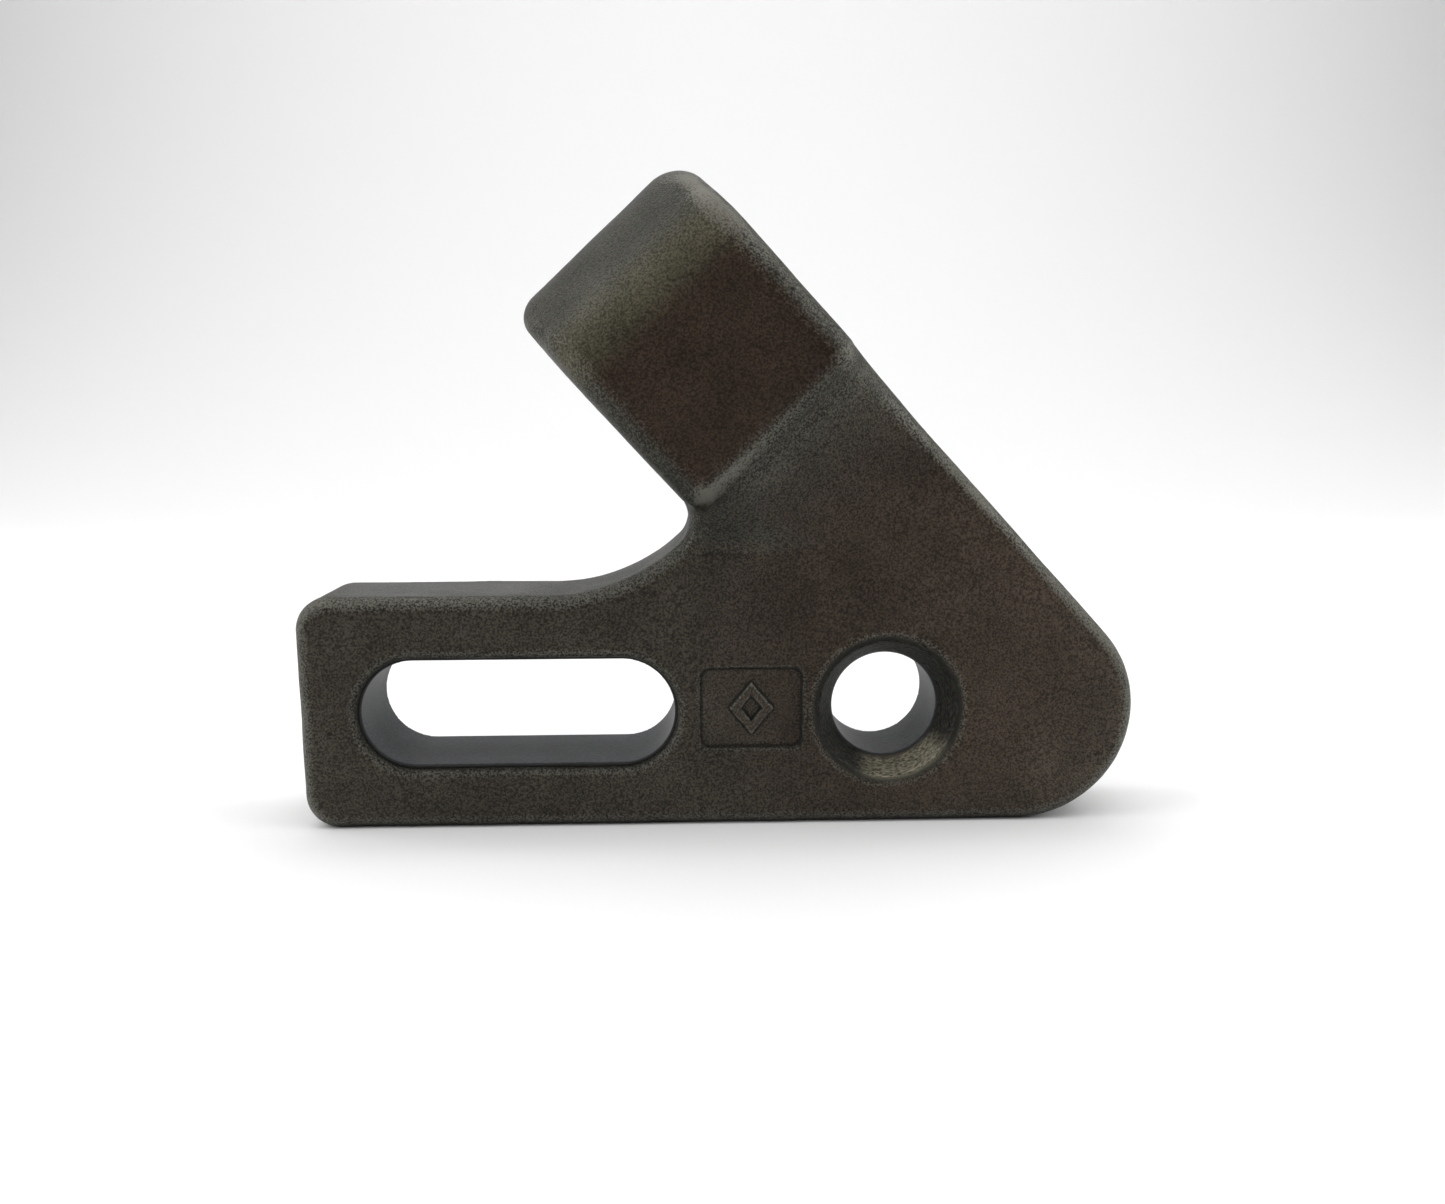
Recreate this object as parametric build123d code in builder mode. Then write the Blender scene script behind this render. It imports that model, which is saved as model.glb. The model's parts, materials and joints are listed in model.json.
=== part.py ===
from build123d import *
from math import asin, atan2, cos, degrees, radians, sin, sqrt
import os

# Bolt-on tooth: one steel casting. The back face lies on Y = 0, the front faces -Y and
# the tooth stands on its bottom edge with +Z up. The origin is the axis of the round
# bolt hole at the back face. Lengths are millimetres, angles are degrees.

# Bolt holes
BOLT_CLEARANCE = 13.0       # hole diameter and slot width, for an M12 bolt
HOLE_TO_SLOT = 45.0         # hole axis to the middle of the slot
SLOT_TRAVEL = 25.0          # between the centres of the slot's rounded ends
COUNTERSINK_MOUTH = 17.6
COUNTERSINK_ANGLE = 66.0
HOLE_RIM = 0.7              # rounding where the slot and countersink meet the front

# Plate with the arm
PLATE_THICKNESS = 14.0
ARM_HEIGHT = 28.6
ARM_REACH = 71.3            # hole axis to the arm's free end
ARM_CORNER = 4.1
HEEL_RADIUS = 14.0          # large rounded corner below the raking edge
PLATE_RIM = 1.7             # rounding of the front outline
NOTCH_RADIUS = 23.5         # sweep from the arm's top edge into the notch
NOTCH_START = -41.2         # where that sweep leaves the arm's top edge
NOTCH_CORNER = 4.0

# Raking leg, measured across (to the upper right) and along (to the upper left)
RAKE = 47.3                 # leg direction above the horizontal
LEG_OUTER = 25.85           # hole axis to the leg's long outer edge
LEG_INNER = -0.7            # hole axis to the leg's edge along the notch
LEG_TIP = 65.2
TIP_CORNER_OUTER = 4.2
TIP_CORNER_INNER = 3.1

# Raised block at the end of the leg
BLOCK_THICKNESS = 19.6
BLOCK_START = 33.1
BLOCK_CORNER = 3.0
BLOCK_RIM = 2.9             # rounding of the block's front edges
BEVEL_START = 53.3          # where the front rolls over towards the tip
BEVEL_RADIUS = 9.0
BEVEL_ANGLE = 51.0

# Blend from the plate up to the block
RAMP_START = 16.5
RAMP_LAP = 0.8              # how far the blend runs into the block
RAMP_RADIUS = 38.0
FACET_Z = 19.9              # level edge that trims the blend beside the notch
FACET_ANGLE = 28.0

# Foundry mark panel
PANEL_X = -16.7
PANEL_Z = 0.4
PANEL_WIDTH = 12.5
PANEL_HEIGHT = 10.0
PANEL_CORNER = 1.2
PANEL_DEPTH = 0.6
MARK_HEIGHT = 6.6
MARK_WIDTH = 5.4
MARK_RIB = 1.1
MARK_RAISE = 0.4

PLATE_LAP = 6.0             # how far the plate runs into the block
BEVEL_END_Y = -10.0         # the bevel's foot lies in front of this level
BIG = 200.0                 # longer than the part in any direction

ARM_HALF = ARM_HEIGHT / 2
RAMP_END = BLOCK_START + RAMP_LAP
LEG_ROOT = BLOCK_START + PLATE_LAP
ramp_angle = degrees(asin((RAMP_END - RAMP_START) / RAMP_RADIUS))

across = Vector(sin(radians(RAKE)), 0, cos(radians(RAKE)))
along = Vector(-cos(radians(RAKE)), 0, sin(radians(RAKE)))
leg_plan = Plane(origin=(0, 0, 0), x_dir=across, z_dir=(0, -1, 0))
leg_side = Plane(origin=(0, 0, 0), x_dir=along, z_dir=across)


def leg_point(w, s):
    """Point on the outline plane, w across and s along the leg."""
    point = across * w + along * s
    return (point.X, point.Z)


# Outline of the plate, drawn on the back face and ending inside the block
heel_z = HEEL_RADIUS - ARM_HALF
heel_x = (LEG_OUTER - HEEL_RADIUS - heel_z * across.Z) / across.X
notch_centre = (NOTCH_START, ARM_HALF + NOTCH_RADIUS)
notch_w = notch_centre[0] * across.X + notch_centre[1] * across.Z
notch_s = notch_centre[0] * along.X + notch_centre[1] * along.Z
notch_end_s = notch_s - sqrt(NOTCH_RADIUS**2 - (LEG_INNER - notch_w) ** 2)
notch_end = leg_point(LEG_INNER, notch_end_s)
notch_end_angle = degrees(atan2(notch_end[1] - notch_centre[1], notch_end[0] - notch_centre[0]))

with BuildSketch(Plane.XZ) as outline:
    with BuildLine():
        bottom = Line((-ARM_REACH, -ARM_HALF), (heel_x, -ARM_HALF))
        heel = CenterArc((heel_x, heel_z), HEEL_RADIUS, -90, 180 - RAKE)
        outer = Line(heel @ 1, leg_point(LEG_OUTER, LEG_ROOT))
        root = Line(outer @ 1, leg_point(LEG_INNER, LEG_ROOT))
        inner = Line(root @ 1, notch_end)
        sweep_arc = CenterArc(notch_centre, NOTCH_RADIUS, notch_end_angle, -90 - notch_end_angle)
        top = Line(sweep_arc @ 1, (-ARM_REACH, ARM_HALF))
        end = Line(top @ 1, bottom @ 0)
    make_face()
    fillet(outline.vertices().group_by(Axis.X)[0], radius=ARM_CORNER)
    fillet(outline.vertices().sort_by_distance(notch_end)[0], radius=NOTCH_CORNER)

# Flat plate, its front outline rounded
with BuildPart() as plate:
    extrude(outline.sketch, amount=PLATE_THICKNESS)
    fillet(plate.edges().group_by(Axis.Y)[0], radius=PLATE_RIM)

# Raised block, its front rolled over towards the tip
with BuildPart() as block:
    with BuildSketch(leg_plan) as block_plan:
        with Locations(((LEG_INNER + LEG_OUTER) / 2, (BLOCK_START + LEG_TIP) / 2)):
            Rectangle(LEG_OUTER - LEG_INNER, LEG_TIP - BLOCK_START)
        fillet(block_plan.vertices().sort_by_distance((LEG_OUTER, LEG_TIP))[0], radius=TIP_CORNER_OUTER)
        fillet(block_plan.vertices().sort_by_distance((LEG_INNER, LEG_TIP))[0], radius=TIP_CORNER_INNER)
        fillet(block_plan.vertices().sort_by_distance((LEG_INNER, BLOCK_START))[0], radius=BLOCK_CORNER)
    extrude(amount=BLOCK_THICKNESS)
    with BuildSketch(leg_side):
        with BuildLine():
            roll = JernArc((BEVEL_START, BLOCK_THICKNESS), (1, 0), BEVEL_RADIUS, -BEVEL_ANGLE)
            slope = PolarLine(roll @ 1, LEG_TIP - BEVEL_START, -BEVEL_ANGLE)
            Polyline(slope @ 1, (LEG_TIP + BEVEL_RADIUS, BLOCK_THICKNESS), roll @ 0)
        make_face()
    extrude(amount=BIG, both=True, mode=Mode.SUBTRACT)
    front_edges = block.edges().filter_by(lambda e: e.center().Y < BEVEL_END_Y)
    upright = front_edges.filter_by(Axis.Y)
    fillet(front_edges - upright, radius=BLOCK_RIM)

# Concave blend from the plate up to the block, trimmed level beside the notch
with BuildPart() as ramp:
    with BuildSketch(leg_side.offset(LEG_OUTER)):
        with BuildLine():
            rise = JernArc((RAMP_START, PLATE_THICKNESS), (1, 0), RAMP_RADIUS, ramp_angle)
            Polyline(rise @ 1, (RAMP_END, PLATE_THICKNESS / 2),
                     (RAMP_START, PLATE_THICKNESS / 2), rise @ 0)
        make_face()
    extrude(amount=-BIG)
    outer_rim = ramp.edges().filter_by(GeomType.CIRCLE).sort_by(Axis.X)[-1]
    fillet(outer_rim, radius=PLATE_RIM)
    extrude(outline.sketch, amount=BLOCK_THICKNESS, mode=Mode.INTERSECT)
    facet = Plane(origin=(0, -PLATE_THICKNESS, FACET_Z),
                  z_dir=(0, -cos(radians(FACET_ANGLE)), -sin(radians(FACET_ANGLE))))
    split(bisect_by=facet, keep=Keep.BOTTOM)

# The whole casting
with BuildPart() as tooth_casting:
    add(plate.part)
    add(ramp.part)
    add(block.part)

    # Straight slot through the arm and round hole through the heel, on one line
    with BuildSketch(Plane.XZ.offset(PLATE_THICKNESS)):
        with Locations((-HOLE_TO_SLOT, 0)):
            SlotCenterToCenter(SLOT_TRAVEL, BOLT_CLEARANCE)
    extrude(amount=-PLATE_THICKNESS, mode=Mode.SUBTRACT)
    with Locations(Plane.XZ.offset(PLATE_THICKNESS)):
        CounterSinkHole(BOLT_CLEARANCE / 2, COUNTERSINK_MOUTH / 2, PLATE_THICKNESS, COUNTERSINK_ANGLE)
    plate_front = tooth_casting.faces().filter_by(Axis.Y).sort_by(SortBy.AREA)[-2]
    fillet(plate_front.inner_wires().edges(), radius=HOLE_RIM)

    # Sunken panel with a raised hollow lozenge
    with BuildSketch(Plane.XZ.offset(PLATE_THICKNESS)):
        with Locations((PANEL_X, PANEL_Z)):
            RectangleRounded(PANEL_WIDTH, PANEL_HEIGHT, PANEL_CORNER)
    extrude(amount=-PANEL_DEPTH, mode=Mode.SUBTRACT)
    with BuildSketch(Plane.XZ.offset(PLATE_THICKNESS - PANEL_DEPTH)):
        with BuildLine():
            Polyline((PANEL_X - MARK_WIDTH / 2, PANEL_Z), (PANEL_X, PANEL_Z + MARK_HEIGHT / 2),
                     (PANEL_X + MARK_WIDTH / 2, PANEL_Z), (PANEL_X, PANEL_Z - MARK_HEIGHT / 2), close=True)
        make_face()
        offset(amount=-MARK_RIB, mode=Mode.SUBTRACT)
    extrude(amount=MARK_RAISE)

tooth_casting.part.label = "tooth_casting"
os.makedirs("parts", exist_ok=True)
export_step(tooth_casting.part, "parts/tooth_casting.step")
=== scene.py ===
import json
from math import cos, hypot, radians, sin, tan

import bpy
import numpy as np
from mathutils import Matrix, Vector


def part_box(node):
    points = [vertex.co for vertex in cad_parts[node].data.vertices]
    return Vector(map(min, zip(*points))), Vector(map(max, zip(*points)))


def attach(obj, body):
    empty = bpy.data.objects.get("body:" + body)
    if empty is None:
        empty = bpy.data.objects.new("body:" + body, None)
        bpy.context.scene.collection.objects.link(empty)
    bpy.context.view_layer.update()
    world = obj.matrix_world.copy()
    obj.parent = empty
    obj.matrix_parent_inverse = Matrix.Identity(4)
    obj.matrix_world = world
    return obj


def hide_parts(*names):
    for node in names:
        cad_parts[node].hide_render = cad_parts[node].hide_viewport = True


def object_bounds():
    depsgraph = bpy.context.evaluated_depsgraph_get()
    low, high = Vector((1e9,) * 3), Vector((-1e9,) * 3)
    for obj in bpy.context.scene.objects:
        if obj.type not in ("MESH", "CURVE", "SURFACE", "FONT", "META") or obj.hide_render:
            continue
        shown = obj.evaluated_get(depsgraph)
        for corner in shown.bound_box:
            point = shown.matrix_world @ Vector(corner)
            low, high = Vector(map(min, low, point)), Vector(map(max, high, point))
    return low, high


# Looks of the bolt-on tooth. The casting is rebuilt as one fine skin: its solid is written
# as a signed distance (negative inside), a net of quads is wrapped around it, and the skin's
# own unevenness is pressed into that net. Lengths are millimetres until the mesh is made.

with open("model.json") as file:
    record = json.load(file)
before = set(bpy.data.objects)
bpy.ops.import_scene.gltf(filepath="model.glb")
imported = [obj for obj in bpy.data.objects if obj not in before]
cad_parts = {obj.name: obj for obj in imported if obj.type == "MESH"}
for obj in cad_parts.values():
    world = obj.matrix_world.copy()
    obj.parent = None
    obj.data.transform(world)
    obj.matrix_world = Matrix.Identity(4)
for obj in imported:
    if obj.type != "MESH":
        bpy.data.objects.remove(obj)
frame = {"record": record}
cad_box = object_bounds()
MM = 0.001

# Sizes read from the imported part
low, high = (np.array(corner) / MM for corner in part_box("tooth_casting"))
mounts = {mount["name"]: mount for mount in frame["record"]["mounts"]}
BOLT_RADIUS = mounts["bolt_hole"]["dims"]["r_mm"]
BORE_LENGTH = mounts["bolt_hole"]["dims"]["length_mm"]
SLOT_X = mounts["arm_slot"]["pos_m"][0] / MM
ARM_REACH = -low[0]
ARM_HALF = -low[2]
BLOCK_TOP = -low[1]

# Plate, arm and heel
PLATE_TOP = 14.0
ARM_CORNER = 4.1
HEEL_RADIUS = 14.0
PLATE_RIM = 1.7
BACK_RIM = 0.5
NOTCH_X = -41.2             # centre of the sweep from the arm into the notch
NOTCH_RADIUS = 23.5
NOTCH_CORNER = 4.0

# Raking leg: w runs across it to the upper right, s along it to the upper left
RAKE = radians(47.3)
LEG_OUTER = 25.85
LEG_INNER = -0.7
LEG_TIP = 65.2
TIP_CORNER_OUTER = 4.2
TIP_CORNER_INNER = 3.1

# Block and bevelled tip
BLOCK_START = 33.1
BLOCK_CORNER = 3.0
BLOCK_RIM = 3.3
TIP_RIM = 1.6
TIP_RIM_START = 57.0        # the rim shrinks from the block's to the tip's beyond this
BEVEL_START = 53.3
BEVEL_RADIUS = 9.0
BEVEL_ANGLE = radians(51)

# Blend from the plate up to the block
RAMP_START = 16.5
RAMP_RADIUS = 38.0
RAMP_BLEND = 0.6            # softening of the ramp's trimmed edges
FACET_Z = 19.9              # level line that trims the ramp beside the notch
FACET_ANGLE = radians(28)
JOINT_BLEND = 0.8           # filling where the plate turns up into the ramp
JOINT_LEAD = 1.5            # that filling starts this far below the facet
JOINT_END = BLOCK_START + 2
BLOCK_BLEND = 1.0           # filling at the block's foot
SHARP = 0.02                # the least filling, where two surfaces just meet

# The arm's end has as large an s as the leg does: only the leg lies past either of these
LEG_SIDE_W = LEG_INNER - 1
LEG_SIDE_Z = ARM_HALF + 1

# Slot and countersink
SLOT_TRAVEL = 25.0
SLOT_LEDGE = 0.35
SLOT_LIP_DEPTH = 1.1
SLOT_LIP_RIM = 0.9
SLOT_LIP_FOOT = 0.2
PIERCED_EDGE = 0.15         # rounding where a pierced wall starts
SINK_RADIUS = 8.8
SINK_HALF_ANGLE = radians(33)
SINK_RIM = 0.8

# Sunken panel with its raised lozenge
PANEL_X, PANEL_Z = -16.7, 0.4
PANEL_HALF_WIDTH, PANEL_HALF_HEIGHT = 6.25, 5.0
PANEL_CORNER = 1.2
PANEL_DEPTH = 0.6
PANEL_DRAFT = 0.25          # how far its walls lean out, per millimetre of depth
PANEL_MOUTH, PANEL_FOOT = 0.45, 0.15
MARK_HALF_WIDTH, MARK_HALF_HEIGHT = 2.7, 3.3
MARK_RIB = 1.1
MARK_RAISE = 0.5
MARK_CREST, MARK_FOOT = 0.35, 0.12

# Cast skin: slow lumps, shot-blast grain, and the few pits that can be seen
LUMP_SIZE, LUMP_HEIGHT = 9.0, 0.05
GRAIN_SIZE, GRAIN_HEIGHT = 1.3, 0.012
PITS = (                    # x, z, radius, depth
    (-14.3, 51.1, 0.45, 0.25),
    (-13.5, 50.6, 0.35, 0.2),
    (-12.5, 49.5, 0.4, 0.25),
    (-67.6, -2.2, 0.35, 0.2),
    (-8.9, -12.3, 0.3, 0.2),
    (25.9, -5.9, 0.35, 0.2),
)
TILT_REACH = 0.1            # step over which the skin's tilt is measured

# Net and mesh
NET_STEP = 0.25
NET_MARGIN = 2.5            # in steps, around the casting
NET_SLAB = 32               # grid planes worked out at a time
SETTLE_ROUNDS = 4
LEAST_STEEPNESS = 0.25
SLOPE_REACH = 0.02
MAX_TRIANGLES = 195_000
DETAIL_BULGE, DETAIL_KEEP = 0.12, 3.0

# Lattice noise: large numbers that scramble the corners
HASH_I, HASH_J, HASH_K, HASH_SEED = 374761393, 668265263, 1440662683, 97531
HASH_TURN = 1274126177
HASH_MASK = 0xFFFFFFFF
HASH_HALF = 32767.5
LUMP_SEED, GRAIN_SEED = 1, 2

# Where the skin is pale from wear and painted highlight, or darker from painted shade in hollows,
# creases and pits, and how strongly each cause counts
EDGE_REACH, LINE_REACH, HOLLOW_REACH = 0.9, 0.3, 2.4
# Edges pale partly from wear and partly painted highlight; small edges get painted highlight, small
# creases painted shade
EDGE_WEAR_AND_SHEEN, LINE_SHEEN_AND_SHADE = 0.85, 0.9
# Painted shade in hollows and pits
HOLLOW_SHADE, PIT_SHADE = 0.8, 6
# Painted highlight bands, partly real wear: round the openings, at the block's foot, on the tip and the
# outer rim
LIP_HIGHLIGHT, FOOT_HIGHLIGHT, TIP_HIGHLIGHT, OUTER_HIGHLIGHT = 0.3, 0.72, 0.45, 0.2
SINK_BAND = SINK_RADIUS + 0.7
SLOT_BAND = 1.1
FOOT_BAND = BLOCK_START + 1
FACET_FADE = 0.9            # the painted highlight and shade along the facet's line hardly show on the leg
CONE_HIGHLIGHT_ANGLE = -72            # painted highlight in the countersink, degrees around the hole, at the lower right

# How much lighter (painted light) and how much redder and darker (painted reflection and shade) each
# stretch of the front is
PALE_FRONT, PALE_HEEL, PALE_BOTTOM, PALE_PANEL, PALE_RAMP = 0.1, 0.35, 0.15, 0.25, 0.22
RUDDY_FRONT, RUDDY_PLATE = 0.38, 0.4
# Middle of the painted olive highlight where the front rolls over into the tip
OLIVE_MIDDLE = BEVEL_START + 2.5

# Where the smooth walls of the openings fade into the cast skin, beyond their outline
WALL_OUT, WALL_IN = 0.3, 0.1

# The vertex attributes that carry all this to the material, in the order they are stored
SHARES = ("pierced", "sink", "seat", "wear", "pale", "ruddy", "olive")

# Steel's colours, as linear red, green, blue
GREY_SCALE = (0.042, 0.041, 0.033, 1)
# Darker, redder flat front: painted reflection and shade
RUDDY_REFLECTION = (0.037, 0.0255, 0.0182, 1)
# Painted highlight where the block's front rolls over into the tip
OLIVE_HIGHLIGHT = (0.070, 0.065, 0.043, 1)
# Pale edges: partly wear, partly painted highlight
WORN_AND_LIT_STEEL = (0.150, 0.145, 0.122, 1)
# Painted shade in hollows, creases and pits
PAINTED_SHADE = (0.016, 0.014, 0.011, 1)
CONE_DARK = (0.034, 0.033, 0.028, 1)
# Painted highlight at the lower right of the countersink
CONE_HIGHLIGHT = (0.20, 0.185, 0.135, 1)
PIERCED_WALL = (0.040, 0.043, 0.046)

# Steel's grain and patches: sizes in millimetres, and ranges that a noise is spread over
GRAIN_SPACING = 0.24
MOTTLE_SPACING = 6.0
PATCH_SPACING = 14.0
NOISE_MIDDLE = (0.3, 0.7)
PATCH_MIDDLE = (0.35, 0.65)
MOTTLE_SHADE = (0.88, 1.14)
SPECK_SHADE = (0.36, 1.8)
CONE_SHADE = (0.4, 1.7)
WALL_SHADE = (0.7, 1.3)
SPECK_CALM = 0.3            # share of the specks missing under the painted ruddy reflection and olive highlight
EDGE_JITTER = (-0.25, 0.25)
PALE_SPAN = (0.3, 1.1)      # wear and painted highlight at which the pale steel starts, and is full
# Where the painted shade starts and is full, and the most of it
SHADE_SPAN = (-0.15, -0.7)
MOST_SHADE = 0.75
SKIN_BUMP, WALL_BUMP = (0.16, 0.36), 0.05
SKIN_ROUGHNESS, WALL_ROUGHNESS = (0.46, 0.56), 0.45
WALL_STRETCH = (0.45, 0.8, 1.0)
CONE_STRETCH = 0.6

# Camera, in millimetres and turned from looking level along +Y
CAMERA_PLACE = (-24.58, -154.83, 37.06)
CAMERA_YAW, CAMERA_PITCH, CAMERA_ROLL = radians(-1.79), radians(-9.47), radians(0.19)
CAMERA_LENS, CAMERA_SENSOR = 29.77, 36.0

# Stage, in metres
STAGE_REACH = 2.0
STAGE_DEPTH = 0.35
STAGE_CURVE = 0.4
STAGE_CURVE_STEP = 6        # degrees


def rounded_max(a, b, radius):
    """Where two solids overlap, with the edge between their square faces rounded."""
    flat = np.minimum(np.maximum(a, b), -radius)
    return flat + np.hypot(np.maximum(a + radius, 0), np.maximum(b + radius, 0))


def smooth_max(a, b, width):
    """Where two solids overlap, with a blunt edge between them softened."""
    near = np.maximum(width - np.abs(a - b), 0)
    return np.maximum(a, b) + near * near / (4 * width)


def smooth_min(a, b, width):
    """Two solids joined, with a little filling between them."""
    return -smooth_max(-a, -b, width)


def leg_axes(x, z):
    """Place on the leg: w across it and s along it."""
    return x * sin(RAKE) + z * cos(RAKE), z * sin(RAKE) - x * cos(RAKE)


def heel_edge(x, z, w, s):
    """Bottom edge and the leg's outer edge, with the heel's exact arc between them."""
    centre_z = HEEL_RADIUS - ARM_HALF
    centre_x = (LEG_OUTER - HEEL_RADIUS - centre_z * cos(RAKE)) / sin(RAKE)
    centre_s = leg_axes(centre_x, centre_z)[1]
    arc = np.hypot(x - centre_x, z - centre_z) - HEEL_RADIUS
    straight = np.maximum(-z - ARM_HALF, w - LEG_OUTER)
    return np.where((x > centre_x) & (s < centre_s), arc, straight)


def outline(x, z):
    """Distance from the tooth's outline, seen from the front."""
    w, s = leg_axes(x, z)
    arm_end = rounded_max(-x - ARM_REACH, -z - ARM_HALF, ARM_CORNER)
    tip = rounded_max(w - LEG_OUTER, s - LEG_TIP, TIP_CORNER_OUTER)
    body = np.maximum(np.maximum(arm_end, heel_edge(x, z, w, s)), tip)
    arc = np.hypot(x - NOTCH_X, z - ARM_HALF - NOTCH_RADIUS) - NOTCH_RADIUS
    sweep = np.where(x < NOTCH_X, ARM_HALF - z, arc)
    notch = rounded_max(w - LEG_INNER, sweep, NOTCH_CORNER)
    corner = np.where(x < SLOT_X, ARM_CORNER, TIP_CORNER_INNER)
    return rounded_max(body, -notch, corner)


def bevelled_top(s, height):
    """Distance above the block's top, which rolls over into a slope at the tip."""
    ds, dh = s - BEVEL_START, height - (BLOCK_TOP - BEVEL_RADIUS)
    slope = ds * sin(BEVEL_ANGLE) + dh * cos(BEVEL_ANGLE) - BEVEL_RADIUS
    past_arc = ds * cos(BEVEL_ANGLE) > dh * sin(BEVEL_ANGLE)
    roll = np.hypot(ds, dh) - BEVEL_RADIUS
    return np.where(ds < 0, dh - BEVEL_RADIUS, np.where(past_arc, slope, roll))


def lower_height(s, z):
    """Height of the plate and the ramp, with no block on them."""
    run = np.clip(s - RAMP_START, 0, RAMP_RADIUS)
    ramp = RAMP_RADIUS - np.sqrt(RAMP_RADIUS**2 - run * run)
    facet = (z - FACET_Z) * tan(FACET_ANGLE)
    return PLATE_TOP + np.clip(np.minimum(ramp, facet), 0, BLOCK_TOP - PLATE_TOP)


def lower_caps(s, z, height, top):
    """Front of the plate, and of the ramp that rises from it, trimmed level beside the notch."""
    rise = RAMP_RADIUS - np.hypot(s - RAMP_START, height - PLATE_TOP - RAMP_RADIUS)
    ramp = np.where(s < RAMP_START, height - PLATE_TOP, rise)
    facet = (height - PLATE_TOP) * cos(FACET_ANGLE) - (z - FACET_Z) * sin(FACET_ANGLE)
    ramp = smooth_max(smooth_max(ramp, facet, RAMP_BLEND), top, RAMP_BLEND)
    return np.maximum(height - PLATE_TOP, top), ramp


def rim_at(s):
    """Rounding of the front outline: small on the plate, large on the block, small again at the tip."""
    places = (RAMP_START, BLOCK_START, TIP_RIM_START, LEG_TIP)
    return np.interp(s, places, (PLATE_RIM, BLOCK_RIM, BLOCK_RIM, TIP_RIM))


def body_solid(edge, w, s, z, height):
    """Plate, ramp and block, inside the outline whose distance is edge."""
    top = bevelled_top(s, height)
    rim = rim_at(s)
    plate_cap, ramp_cap = lower_caps(s, z, height, top)
    risen = lower_height(s, z + JOINT_LEAD) - PLATE_TOP
    joint = np.clip(np.minimum(risen, JOINT_END - s), SHARP, JOINT_BLEND)
    lower_cap = smooth_min(plate_cap, ramp_cap, joint)
    room = (BLOCK_TOP - lower_height(s, z)) / 2

    # By the outer edge the ramp and the block share one rim
    block_cap = rounded_max(BLOCK_START - s, top, rim)
    front = smooth_min(lower_cap, block_cap, np.clip(room, SHARP, BLOCK_BLEND))
    outer = rounded_max(edge, front, rim)

    # By the notch the block has its own rounded corner, and stands clear of the ramp
    plan = rounded_max(BLOCK_START - s, np.maximum(edge, LEG_INNER - w), BLOCK_CORNER)
    on_tip = (s > BEVEL_START) & (z > LEG_SIDE_Z)
    plate_rim = np.where(on_tip, rim, np.minimum(rim, PLATE_RIM))
    plate = rounded_max(edge, plate_cap, plate_rim)
    ramp = rounded_max(edge, ramp_cap, rim)
    lower = smooth_min(plate, ramp, np.clip(np.minimum(joint, -edge), SHARP, JOINT_BLEND))
    blend = np.clip(np.minimum(-edge, room), SHARP, BLOCK_BLEND)
    inner = smooth_min(lower, rounded_max(plan, top, rim), blend)
    return np.where(w > LEG_OUTER / 2, outer, inner)


def slot_distance(x, z):
    """Distance from the slot's wall, seen from the front: below 0 in the slot."""
    along = np.maximum(np.abs(x - SLOT_X) - SLOT_TRAVEL / 2, 0)
    return np.hypot(along, z) - BOLT_RADIUS


def cut_slot(solid, x, z, height):
    """Pierced slot, with a shallow cast recess around its mouth."""
    distance = slot_distance(x, z)
    recess = rounded_max(distance - SLOT_LEDGE, PLATE_TOP - SLOT_LIP_DEPTH - height, SLOT_LIP_FOOT)
    solid = rounded_max(solid, -recess, SLOT_LIP_RIM)
    return rounded_max(solid, -distance, PIERCED_EDGE)


def cut_hole(solid, x, z, height):
    """Round bolt hole with its countersink."""
    radius = np.hypot(x, z)
    cone = (radius - SINK_RADIUS + (PLATE_TOP - height) * tan(SINK_HALF_ANGLE)) * cos(SINK_HALF_ANGLE)
    solid = rounded_max(solid, -cone, SINK_RIM)
    return smooth_max(solid, BOLT_RADIUS - radius, PIERCED_EDGE)


def cut_panel(solid, x, z, height):
    """Sunken panel with a hollow lozenge standing on its floor."""
    dx, dz = np.abs(x - PANEL_X), np.abs(z - PANEL_Z)
    plan = rounded_max(dx - PANEL_HALF_WIDTH, dz - PANEL_HALF_HEIGHT, PANEL_CORNER)
    draft = (height - PLATE_TOP) * PANEL_DRAFT
    pocket = smooth_max(plan - draft, PLATE_TOP - PANEL_DEPTH - height, PANEL_FOOT)
    solid = smooth_max(solid, -pocket, PANEL_MOUTH)
    slant = hypot(MARK_HALF_WIDTH, MARK_HALF_HEIGHT)
    level = dx * MARK_HALF_HEIGHT + dz * MARK_HALF_WIDTH
    rhomb = (level - MARK_HALF_WIDTH * MARK_HALF_HEIGHT) / slant
    outline_rib = np.abs(rhomb + MARK_RIB / 2) - MARK_RIB / 2
    floor = PLATE_TOP - PANEL_DEPTH
    rib = smooth_max(outline_rib, np.abs(height - floor) - MARK_RAISE, MARK_CREST)
    return smooth_min(solid, rib, MARK_FOOT)


def blank(x, y, z):
    """Signed distance of the tooth before its slot, hole and panel."""
    edge = outline(x, z)
    w, s = leg_axes(x, z)
    return rounded_max(body_solid(edge, w, s, z, -y), y, BACK_RIM)


def casting(x, y, z):
    """Signed distance of the whole tooth."""
    height = -y
    solid = blank(x, y, z)
    solid = cut_slot(solid, x, z, height)
    solid = cut_hole(solid, x, z, height)
    return cut_panel(solid, x, z, height)


def grid_axis(start, stop):
    """Grid places along one axis, a little past the casting at both ends."""
    margin = NET_MARGIN * NET_STEP
    return np.arange(start - margin, stop + margin, NET_STEP).astype(np.float32)


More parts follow.
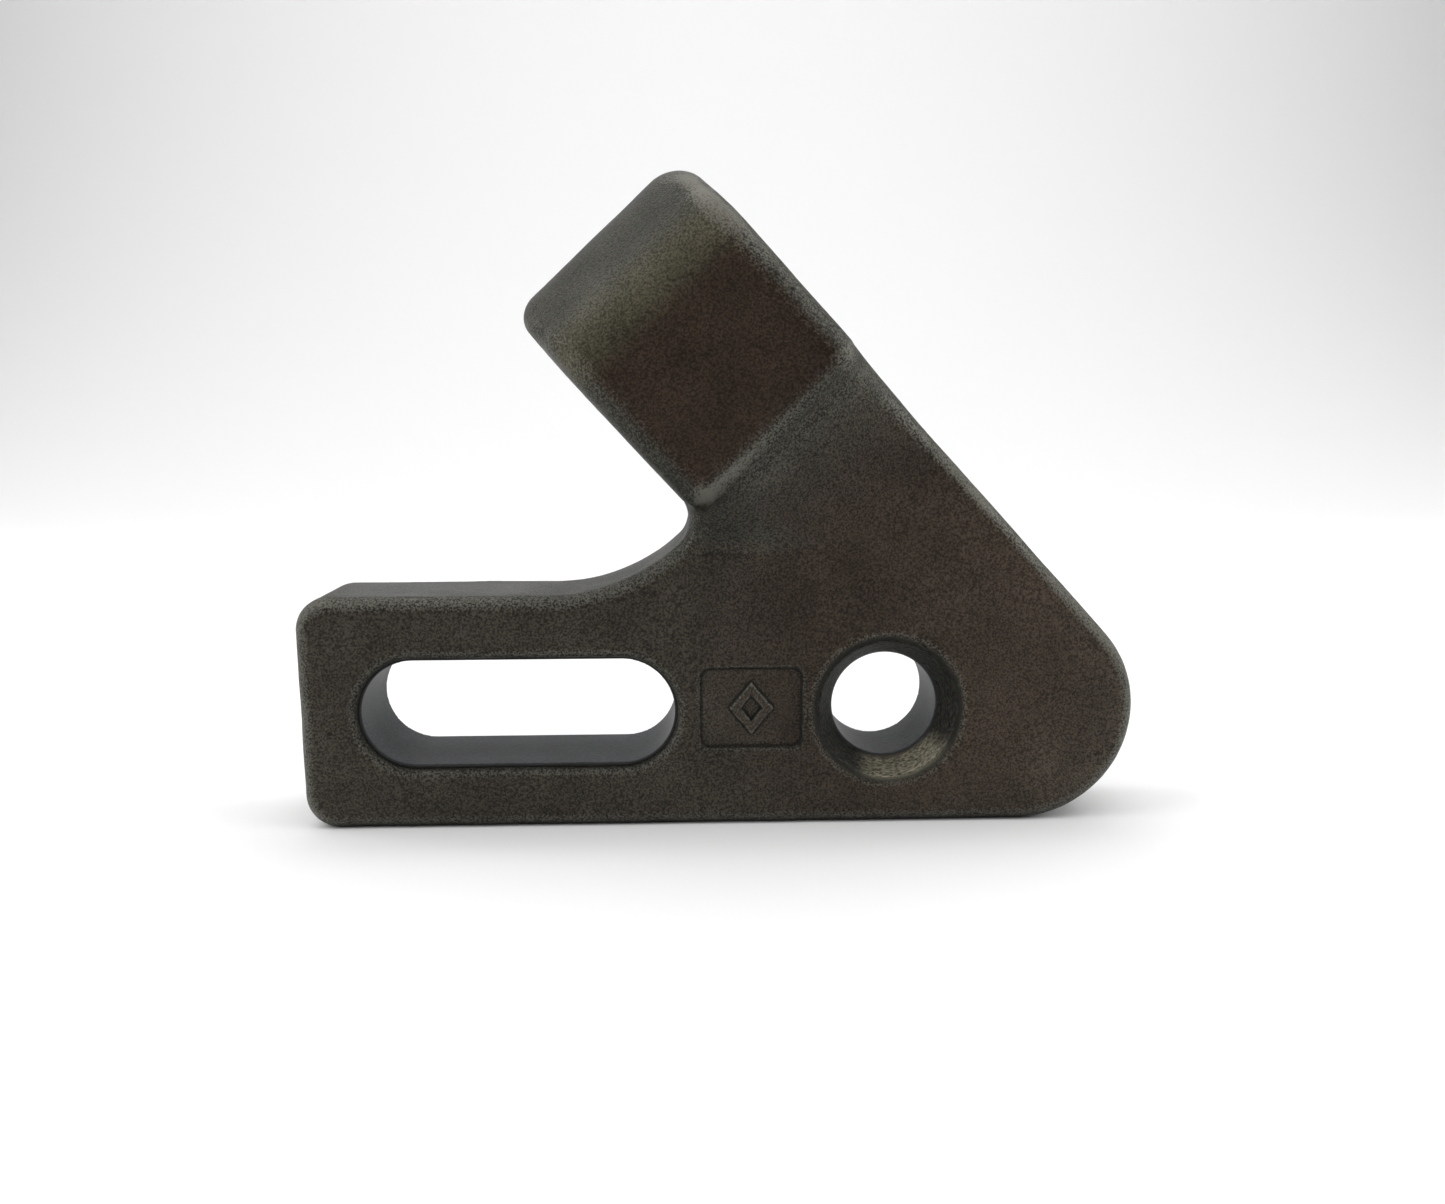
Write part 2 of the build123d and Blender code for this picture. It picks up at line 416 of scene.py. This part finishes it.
def sample_grid():
    """Distance at every grid point, in slabs across X to spare memory."""
    xs, ys, zs = (grid_axis(low[i], high[i]) for i in range(3))
    values = np.empty((len(xs), len(ys), len(zs)), np.float32)
    for i in range(0, len(xs), NET_SLAB):
        slab = xs[i : i + NET_SLAB, None, None]
        values[i : i + NET_SLAB] = casting(slab, ys[None, :, None], zs[None, None, :])
    return (xs, ys, zs), values


def net_cells(inside):
    """True for each grid cell whose eight corners aren't all inside or all outside."""
    count = np.zeros(tuple(n - 1 for n in inside.shape), np.uint8)
    nx, ny, nz = count.shape
    for i in (0, 1):
        for j in (0, 1):
            for k in (0, 1):
                count += inside[i : i + nx, j : j + ny, k : k + nz]
    return (count > 0) & (count < 8)


def net_quads(inside, index):
    """One quad around each grid edge that the surface crosses, facing outwards."""
    quads = []
    for axis in range(3):
        order = [axis, (axis + 1) % 3, (axis + 2) % 3]
        solid = inside.transpose(order)
        cell = index.transpose(order)
        here, there = solid[:-1, 1:-1, 1:-1], solid[1:, 1:-1, 1:-1]
        i, j, k = np.nonzero(here != there)
        around = [cell[i, j, k], cell[i, j + 1, k], cell[i, j + 1, k + 1], cell[i, j, k + 1]]
        quad = np.stack(around, 1)
        backwards = there[i, j, k]
        quad[backwards] = quad[backwards][:, ::-1]
        quads.append(quad)
    return np.concatenate(quads)


def slope_of(points):
    """Gradient of the distance at points, by central differences."""
    slope = np.empty_like(points)
    for axis in range(3):
        step = np.zeros(3)
        step[axis] = SLOPE_REACH
        ahead, behind = (points + step).T, (points - step).T
        slope[:, axis] = (casting(*ahead) - casting(*behind)) / (2 * SLOPE_REACH)
    return slope


def normals_of(points):
    """Outward unit normals of the ideal surface at points."""
    slope = slope_of(points)
    return slope / np.linalg.norm(slope, axis=1)[:, None]


def wrap_net():
    """Vertices on the zero surface, and the quads between them."""
    axes, values = sample_grid()
    inside = values < 0
    cells = net_cells(inside)
    index = np.full(cells.shape, -1, np.int64)
    index[cells] = np.arange(cells.sum())
    quads = net_quads(inside, index)
    corners = [axes[i][where] for i, where in enumerate(np.nonzero(cells))]
    points = np.stack(corners, 1).astype(float) + NET_STEP / 2
    for _ in range(SETTLE_ROUNDS):
        slope = slope_of(points)
        steepness = np.maximum((slope**2).sum(1), LEAST_STEEPNESS)
        move = slope * (casting(*points.T) / steepness)[:, None]
        points -= np.clip(move, -NET_STEP / 2, NET_STEP / 2)
    return points, quads


def make_mesh(name, points, quads):
    """A smooth mesh of quads, from points in millimetres."""
    mesh = bpy.data.meshes.new(name)
    mesh.vertices.add(len(points))
    mesh.vertices.foreach_set("co", (points * MM).astype(np.float32).ravel())
    mesh.loops.add(quads.size)
    mesh.loops.foreach_set("vertex_index", quads.astype(np.int32).ravel())
    mesh.polygons.add(len(quads))
    mesh.polygons.foreach_set("loop_start", np.arange(0, quads.size, 4, dtype=np.int32))
    mesh.update()
    mesh.validate()
    mesh.polygons.foreach_set("use_smooth", np.ones(len(mesh.polygons), bool))
    return mesh


def lattice_value(i, j, k, seed):
    """A repeatable random number from -1 to 1 for each corner of a lattice."""
    mixed = (i * HASH_I + j * HASH_J + k * HASH_K + seed * HASH_SEED) & HASH_MASK
    mixed = ((mixed ^ (mixed >> 13)) * HASH_TURN) & HASH_MASK
    return ((mixed ^ (mixed >> 16)) & 0xFFFF) / HASH_HALF - 1


def noise(points, wavelength, seed):
    """Smooth random field, about -1 to 1, with lumps of the given size."""
    scaled = points / (wavelength / 2)
    cell = np.floor(scaled).astype(np.int64)
    t = scaled - cell
    t = t * t * (3 - 2 * t)
    total = np.zeros(len(points))
    for di in (0, 1):
        for dj in (0, 1):
            for dk in (0, 1):
                corner = lattice_value(cell[:, 0] + di, cell[:, 1] + dj, cell[:, 2] + dk, seed)
                share = np.abs(1 - di - t[:, 0]) * np.abs(1 - dj - t[:, 1]) * np.abs(1 - dk - t[:, 2])
                total += corner * share
    return total


def smoothstep(value, start, stop):
    """Runs softly from 0 at start to 1 at stop, whichever is larger."""
    t = np.clip((value - start) / (stop - start), 0, 1)
    return t * t * (3 - 2 * t)


def pierced_share(points):
    """1 on the smooth walls of the slot and the bolt hole, 0 on the cast skin."""
    x, _, z = points.T
    slot = smoothstep(slot_distance(x, z), WALL_OUT, WALL_IN)
    bore = smoothstep(np.hypot(x, z), BOLT_RADIUS + WALL_OUT, BOLT_RADIUS + WALL_IN)
    return np.maximum(slot, bore)


def sink_share(points):
    """1 on the countersink's cone."""
    x, y, z = points.T
    radius = np.hypot(x, z)
    deep = smoothstep(-y, BORE_LENGTH - 0.2, BORE_LENGTH + 0.2)
    return deep * smoothstep(radius, SINK_RADIUS + 0.3, SINK_RADIUS - 0.2)


def bulge_of(solid, points, reach):
    """Curvature of a solid's surface: above 0 on outside edges, below 0 in corners."""
    total = -6 * solid(*points.T)
    for axis in range(3):
        for sign in (-reach, reach):
            moved = points.copy()
            moved[:, axis] += sign
            total += solid(*moved.T)
    return total / reach


def ring(distance, middle):
    """A soft band of about a millimetre around a distance."""
    return smoothstep(np.abs(distance - middle), 0.9, 0.2)


def facing_front(normals):
    """1 where the skin faces the front, 0 on the walls and the back."""
    return smoothstep(-normals[:, 1], 0.3, 0.6)


def level_share(normals):
    """1 where the skin lies flat against the front or the back."""
    return smoothstep(np.abs(normals[:, 1]), 0.88, 1.0)


def highlight_bands(x, z):
    """Painted highlight on the front by place, partly real wear: round the openings, at the block's
    foot, on the tip and the rim.
    """
    w, s = leg_axes(x, z)
    lips = ring(np.hypot(x, z), SINK_BAND) + ring(slot_distance(x, z), SLOT_BAND)
    foot = smoothstep(np.abs(s - FOOT_BAND), 1.6, 0.4) * smoothstep(w, LEG_OUTER - 1, 3)
    foot *= w > LEG_SIDE_W
    tip = smoothstep(w, LEG_OUTER - 6, LEG_OUTER - 1.5) * smoothstep(s, BLOCK_START + 12, LEG_TIP - 6)
    outer = smoothstep(w, LEG_OUTER - 2, LEG_OUTER - 0.7)
    return LIP_HIGHLIGHT * lips + FOOT_HIGHLIGHT * foot + TIP_HIGHLIGHT * tip + OUTER_HIGHLIGHT * outer


def wear_and_light_share(points, normals):
    """Above 0 where edges are pale, partly from wear and partly painted highlight; below 0 for painted
    shade in corners, creases and pits.
    """
    x, _, z = points.T
    w = leg_axes(x, z)[0]
    edges = bulge_of(blank, points, EDGE_REACH) * smoothstep(normals[:, 2], -1.0, -0.3)
    lines = bulge_of(casting, points, LINE_REACH)
    hollow = np.minimum(bulge_of(blank, points, HOLLOW_REACH), 0)
    faint = 1 - FACET_FADE * smoothstep(np.abs(z - FACET_Z), 4.5, 2.5) * (w > LEG_INNER + 1)
    wear = EDGE_WEAR_AND_SHEEN * edges + faint * (LINE_SHEEN_AND_SHADE * lines + HOLLOW_SHADE * hollow)
    return wear + facing_front(normals) * highlight_bands(x, z) - PIT_SHADE * pit_depth(points, normals)


def painted_light_factor(points, normals):
    """Painted light: how much lighter the flat front is, more so towards the heel, the bottom edge, in
    the panel and on the ramp.
    """
    x, _, z = points.T
    w, s = leg_axes(x, z)
    flat = level_share(normals) * smoothstep(z, 35, 22)
    panel = (np.abs(x - PANEL_X) < PANEL_HALF_WIDTH) & (np.abs(z - PANEL_Z) < PANEL_HALF_HEIGHT)
    ramp = smoothstep(s, RAMP_START + 4, BLOCK_START - 8)
    ramp *= smoothstep(s, BLOCK_START + 1, BLOCK_START - 1)
    ramp *= smoothstep(w, 2, 12)
    lift = PALE_FRONT + PALE_HEEL * smoothstep(x, -8, 20) + PALE_BOTTOM * smoothstep(z, 0, -9)
    return 1 + flat * (lift + PALE_PANEL * panel) + PALE_RAMP * ramp


def ruddy_reflection_share(points, normals):
    """Painted reflection and shade: how red and dark the flat faces are, most on the block's front,
    less on the plate, least on the arm.
    """
    x, _, z = points.T
    w, s = leg_axes(x, z)
    near_heel = smoothstep(x, -45, -8) * smoothstep(np.hypot(x - 5, z - 10), 38, 14)
    plate = RUDDY_FRONT + RUDDY_PLATE * near_heel
    block = smoothstep(s, BLOCK_START - 2, BLOCK_START + 4) * (w > LEG_SIDE_W)
    return level_share(normals) * (plate + (1 - plate) * block)


def olive_highlight_share(points, normals):
    """Painted olive highlight in the band where the block's front rolls over into the tip."""
    s = leg_axes(points[:, 0], points[:, 2])[1]
    band = smoothstep(s, BEVEL_START - 2, OLIVE_MIDDLE) * smoothstep(s, BEVEL_START + 8, OLIVE_MIDDLE)
    return band * facing_front(normals) * (points[:, 2] > LEG_SIDE_Z)


def cone_highlight_share(points):
    """Painted highlight at the lower right of the countersink."""
    x, _, z = points.T
    angle = np.degrees(np.arctan2(z, x))
    return smoothstep(np.abs(angle - CONE_HIGHLIGHT_ANGLE), 50, 24)


def pit_depth(points, normals):
    """How deep the pits in the front are at points."""
    depth = np.zeros(len(points))
    for x, z, radius, deepest in PITS:
        away = np.hypot(points[:, 0] - x, points[:, 2] - z)
        depth += deepest * smoothstep(away, radius, radius * 0.3)
    return depth * (normals[:, 1] < -0.5)


def lump_rise(points):
    """How far the real skin stands out of the ideal surface, pits apart."""
    lumps = LUMP_HEIGHT * noise(points, LUMP_SIZE, LUMP_SEED)
    grain = GRAIN_HEIGHT * noise(points, GRAIN_SIZE, GRAIN_SEED)
    return (lumps + grain) * (1 - pierced_share(points))


def uneven_normals(points, normals):
    """The ideal surface's normals, tilted by the slope of the lumps."""
    slope = np.empty_like(points)
    here = lump_rise(points)
    for axis in range(3):
        ahead = points.copy()
        ahead[:, axis] += TILT_REACH
        slope[:, axis] = (lump_rise(ahead) - here) / TILT_REACH
    slope -= normals * (slope * normals).sum(1)[:, None]
    tilted = normals - slope
    return tilted / np.linalg.norm(tilted, axis=1)[:, None]


def thin_out(tooth, detail):
    """Fewer triangles where the skin is flat, so the mesh stays a sensible size."""
    group = tooth.vertex_groups.new(name="detail")
    group.add(np.nonzero(detail)[0].tolist(), 1.0, "REPLACE")
    thin = tooth.modifiers.new("thin", "DECIMATE")
    thin.ratio = min(1.0, MAX_TRIANGLES / (2 * len(tooth.data.polygons)))
    thin.vertex_group = group.name
    thin.invert_vertex_group = True
    thin.vertex_group_factor = DETAIL_KEEP
    graph = bpy.context.evaluated_depsgraph_get()
    mesh = bpy.data.meshes.new_from_object(tooth.evaluated_get(graph))
    tooth.modifiers.clear()
    tooth.vertex_groups.clear()
    old = tooth.data
    tooth.data = mesh
    bpy.data.meshes.remove(old)


def add_attribute(mesh, name, values):
    """Stores one number for each vertex, for the material to read."""
    layer = mesh.attributes.new(name, "FLOAT", "POINT")
    layer.data.foreach_set("value", np.asarray(values, np.float32))


def build_tooth():
    """The casting's skin as one closed mesh, with its shares and its own normals."""
    points, quads = wrap_net()
    normals = normals_of(points)
    pits = pit_depth(points, normals)
    detail = (np.abs(bulge_of(casting, points, LINE_REACH)) > DETAIL_BULGE) | (pits > 0)
    points += normals * (lump_rise(points) - pits)[:, None]
    mesh = make_mesh("tooth_skin", points, quads)
    tooth = bpy.data.objects.new("tooth_skin", mesh)
    bpy.context.scene.collection.objects.link(tooth)
    thin_out(tooth, detail)
    mesh = tooth.data
    mesh.name = "tooth_skin"
    points = np.empty(len(mesh.vertices) * 3, np.float32)
    mesh.vertices.foreach_get("co", points)
    points = points.reshape(-1, 3).astype(float) / MM
    normals = normals_of(points)
    by_place = (pierced_share, sink_share, cone_highlight_share)
    by_slope = (wear_and_light_share, painted_light_factor, ruddy_reflection_share, olive_highlight_share)
    shares = [share(points) for share in by_place] + [share(points, normals) for share in by_slope]
    for name, values in zip(SHARES, shares):
        add_attribute(mesh, name, values)
    mesh.polygons.foreach_set("use_smooth", np.ones(len(mesh.polygons), bool))
    mesh.normals_split_custom_set_from_vertices(uneven_normals(points, normals))
    return tooth


class Nodes:
    """Short calls for adding shader nodes to a material and joining them."""

    def __init__(self, material):
        material.use_nodes = True
        self.tree = material.node_tree
        self.shader = self.tree.nodes["Principled BSDF"]

    def join(self, value, socket):
        """Links a socket's output, or sets a plain value."""
        if isinstance(value, bpy.types.NodeSocket):
            self.tree.links.new(value, socket)
        else:
            socket.default_value = value

    def add(self, kind, inputs, **settings):
        """A node of a kind, with its inputs joined and its settings made."""
        node = self.tree.nodes.new("ShaderNode" + kind)
        for name, value in settings.items():
            setattr(node, name, value)
        for key, value in inputs.items():
            self.join(value, node.inputs[key])
        return node

    def math(self, operation, a, b):
        """One number worked out from two."""
        return self.add("Math", {0: a, 1: b}, operation=operation).outputs[0]

    def span(self, value, start, stop, low=0.0, high=1.0):
        """Runs from low to high as the value runs from start to stop, softly."""
        inputs = {"Value": value, "From Min": start, "From Max": stop, "To Min": low, "To Max": high}
        return self.add("MapRange", inputs, interpolation_type="SMOOTHSTEP").outputs["Result"]

    def mix(self, share, first, second):
        """A colour that goes from the first to the second."""
        inputs = {0: share, 6: first, 7: second}
        return self.add("Mix", inputs, data_type="RGBA").outputs[2]

    def blend(self, share, first, second):
        """A number that goes from the first to the second."""
        return self.add("Mix", {0: share, 2: first, 3: second}).outputs[0]

    def blend_vectors(self, share, first, second):
        """A place that goes from the first to the second."""
        return self.add("Mix", {0: share, 4: first, 5: second}, data_type="VECTOR").outputs[1]

    def shade(self, colour, factor):
        """A colour made lighter or darker by a factor."""
        return self.add("VectorMath", {0: colour, "Scale": factor}, operation="SCALE").outputs[0]

    def noise(self, place, size, detail):
        """Noise from 0 to 1 around 0.5, with lumps of the given size in millimetres."""
        inputs = {"Vector": place, "Scale": 1 / size, "Detail": detail}
        return self.add("TexNoise", inputs).outputs["Fac"]

    def attribute(self, name):
        """A number stored on the mesh's vertices."""
        return self.add("Attribute", {}, attribute_name=name).outputs["Fac"]


def steel_place(nodes, pierced, sink):
    """Place in millimetres for the grain: drawn out along the slot's walls, and around the cone."""
    raw = nodes.add("TexCoord", {}).outputs["Object"]
    place = nodes.shade(raw, 1 / MM)
    drawn = nodes.add("VectorMath", {0: place, 1: WALL_STRETCH}, operation="MULTIPLY").outputs[0]
    axes = nodes.add("SeparateXYZ", {0: place}).outputs
    angle = nodes.math("ARCTAN2", axes["Z"], axes["X"])
    turn = nodes.math("MULTIPLY", angle, BOLT_RADIUS * CONE_STRETCH)
    sides = nodes.add("CombineXYZ", {0: axes["X"], 2: axes["Z"]}).outputs[0]
    radius = nodes.add("VectorMath", {0: sides}, operation="LENGTH").outputs["Value"]
    around = nodes.add("CombineXYZ", {0: turn, 1: axes["Y"], 2: radius}).outputs[0]
    unpierced = nodes.blend_vectors(sink, place, around)
    return place, nodes.blend_vectors(pierced, unpierced, drawn)


def steel_colour(nodes, place, grain, shares):
    """Scale redder and darker on the flat front as painted reflection and shade, a painted olive
    highlight where the tip rolls over, pale edges from wear and painted highlight, painted shade in
    hollows, creases and pits, and a painted highlight in the countersink.
    """
    mottle = nodes.span(nodes.noise(place, MOTTLE_SPACING, 3.0), *NOISE_MIDDLE, *MOTTLE_SHADE)
    speck = nodes.span(grain, *NOISE_MIDDLE, *SPECK_SHADE)
    smooth = nodes.math("MAXIMUM", shares["ruddy"], shares["olive"])
    speck = nodes.blend(nodes.math("MULTIPLY", smooth, SPECK_CALM), speck, 1.0)
    # The painted light lightens the flat front
    shade = nodes.math("MULTIPLY", nodes.math("MULTIPLY", mottle, speck), shares["pale"])
    # Painted reflection and shade on the flat front
    skin = nodes.mix(shares["ruddy"], GREY_SCALE, RUDDY_REFLECTION)
    # Painted olive highlight where the tip rolls over
    skin = nodes.shade(nodes.mix(shares["olive"], skin, OLIVE_HIGHLIGHT), shade)

    jitter = nodes.span(grain, *NOISE_MIDDLE, *EDGE_JITTER)
    edge = nodes.math("ADD", shares["wear"], jitter)
    # Pale edges from wear and painted highlight
    skin = nodes.mix(nodes.span(edge, *PALE_SPAN), skin, WORN_AND_LIT_STEEL)
    # Painted shade in hollows, creases and pits
    skin = nodes.mix(nodes.span(edge, *SHADE_SPAN, 0.0, MOST_SHADE), skin, PAINTED_SHADE)

    # Painted highlight at the lower right of the countersink
    cone = nodes.mix(shares["seat"], CONE_DARK, CONE_HIGHLIGHT)
    cone = nodes.shade(cone, nodes.span(grain, *NOISE_MIDDLE, *CONE_SHADE))
    skin = nodes.mix(shares["sink"], skin, cone)
    wall_grain = nodes.span(grain, *NOISE_MIDDLE, *WALL_SHADE)
    wall = nodes.shade(PIERCED_WALL, nodes.math("MULTIPLY", mottle, wall_grain))
    return nodes.mix(shares["pierced"], skin, wall)


def steel_material():
    """Bare cast steel: shot-blasted brown skin with painted reflection, highlight and shade, pale edges
    partly worn, smooth blue-grey pierced walls.
    """
    material = bpy.data.materials.new("blasted_steel")
    nodes = Nodes(material)
    shader = nodes.shader
    shares = {name: nodes.attribute(name) for name in SHARES}
    place, grain_place = steel_place(nodes, shares["pierced"], shares["sink"])
    grain = nodes.noise(grain_place, GRAIN_SPACING, 3.0)
    patches = nodes.noise(place, PATCH_SPACING, 2.0)
    depth = nodes.span(patches, *PATCH_MIDDLE, *SKIN_BUMP)
    depth = nodes.blend(shares["pierced"], depth, WALL_BUMP)
    height = nodes.math("MULTIPLY", grain, depth)
    rough = nodes.span(patches, *PATCH_MIDDLE, *SKIN_ROUGHNESS)
    rough = nodes.blend(shares["pierced"], rough, WALL_ROUGHNESS)
    bump = nodes.add("Bump", {"Height": height, "Distance": MM})
    nodes.join(steel_colour(nodes, place, grain, shares), shader.inputs["Base Color"])
    nodes.join(nodes.blend(shares["pierced"], 1.0, 0.0), shader.inputs["Metallic"])
    nodes.join(rough, shader.inputs["Roughness"])
    nodes.join(bump.outputs["Normal"], shader.inputs["Normal"])
    shader.inputs["Specular IOR Level"].default_value = 0.05
    shader.inputs["Coat Weight"].default_value = 0.18
    shader.inputs["Coat Roughness"].default_value = 0.45
    return material


def place_camera():
    """The photograph's view: a phone held close, a little above and left of the tooth."""
    data = bpy.data.cameras.new("camera")
    data.sensor_width = CAMERA_SENSOR
    data.lens = CAMERA_LENS
    data.clip_start = 0.01
    camera = bpy.data.objects.new("camera", data)
    yaw = Matrix.Rotation(CAMERA_YAW, 4, "Z")
    pitch = Matrix.Rotation(CAMERA_PITCH, 4, "X")
    roll = Matrix.Rotation(CAMERA_ROLL, 4, "Y")
    upright = Matrix.Rotation(radians(90), 4, "X")
    place = Matrix.Translation(Vector(CAMERA_PLACE) * MM)
    camera.matrix_world = place @ yaw @ pitch @ roll @ upright
    bpy.context.scene.collection.objects.link(camera)
    bpy.context.scene.camera = camera


def area_light(name, place, target, size, power):
    """A soft rectangular panel at a place, aimed at a target."""
    data = bpy.data.lights.new(name, "AREA")
    data.shape = "RECTANGLE"
    data.size, data.size_y = size
    data.energy = power
    light = bpy.data.objects.new(name, data)
    light.location = place
    aim = Vector(target) - Vector(place)
    light.rotation_euler = aim.to_track_quat("-Z", "Y").to_euler()
    bpy.context.scene.collection.objects.link(light)


def build_stage():
    """Pale floor that sweeps up into a backdrop behind the tooth."""
    floor_z = cad_box[0][2]
    turn = [radians(a) for a in range(0, 91, STAGE_CURVE_STEP)]
    curve = [(STAGE_DEPTH + STAGE_CURVE * sin(a), STAGE_CURVE * (1 - cos(a))) for a in turn]
    profile = [(-STAGE_REACH, 0), *curve, (STAGE_DEPTH + STAGE_CURVE, STAGE_REACH)]
    verts = [(x, y, floor_z + z) for y, z in profile for x in (-STAGE_REACH, STAGE_REACH)]
    faces = [(i, i + 1, i + 3, i + 2) for i in range(0, len(verts) - 2, 2)]
    mesh = bpy.data.meshes.new("floor")
    mesh.from_pydata(verts, [], faces)
    for face in mesh.polygons:
        face.use_smooth = True
    floor = bpy.data.objects.new("floor", mesh)
    bpy.context.scene.collection.objects.link(floor)
    material = bpy.data.materials.new("pale_floor")
    material.use_nodes = True
    shader = material.node_tree.nodes["Principled BSDF"]
    shader.inputs["Base Color"].default_value = (0.92, 0.92, 0.92, 1)
    shader.inputs["Roughness"].default_value = 0.9
    mesh.materials.append(material)


def light_scene():
    """Soft white panels above and to the sides, and one that only lifts the backdrop."""
    bpy.context.scene.view_settings.view_transform = "Standard"
    world = bpy.data.worlds.new("studio")
    bpy.context.scene.world = world
    world.use_nodes = True
    world.node_tree.nodes["Background"].inputs["Strength"].default_value = 0.0
    middle = (0, 0, 0.02)
    area_light("top", (0, 0, 0.6), middle, (0.8, 0.8), 2.05)
    area_light("top_front", (-0.05, -0.45, 0.45), middle, (0.8, 0.5), 0.7)
    area_light("top_left", (-0.5, -0.05, 0.4), middle, (0.5, 0.6), 2.1)
    area_light("top_right", (0.5, -0.05, 0.4), middle, (0.5, 0.6), 1.75)
    area_light("left", (-0.6, -0.05, 0.1), middle, (0.5, 0.4), 0.65)
    area_light("right", (0.6, -0.05, 0.1), middle, (0.5, 0.4), 1.2)
    area_light("backdrop_wash", (0, 0.3, 0.9), (0, 0.75, 0.25), (1.2, 0.4), 3.2)


tooth = build_tooth()
tooth.data.materials.append(steel_material())
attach(tooth, "root")
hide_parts("tooth_casting")
place_camera()
build_stage()
light_scene()
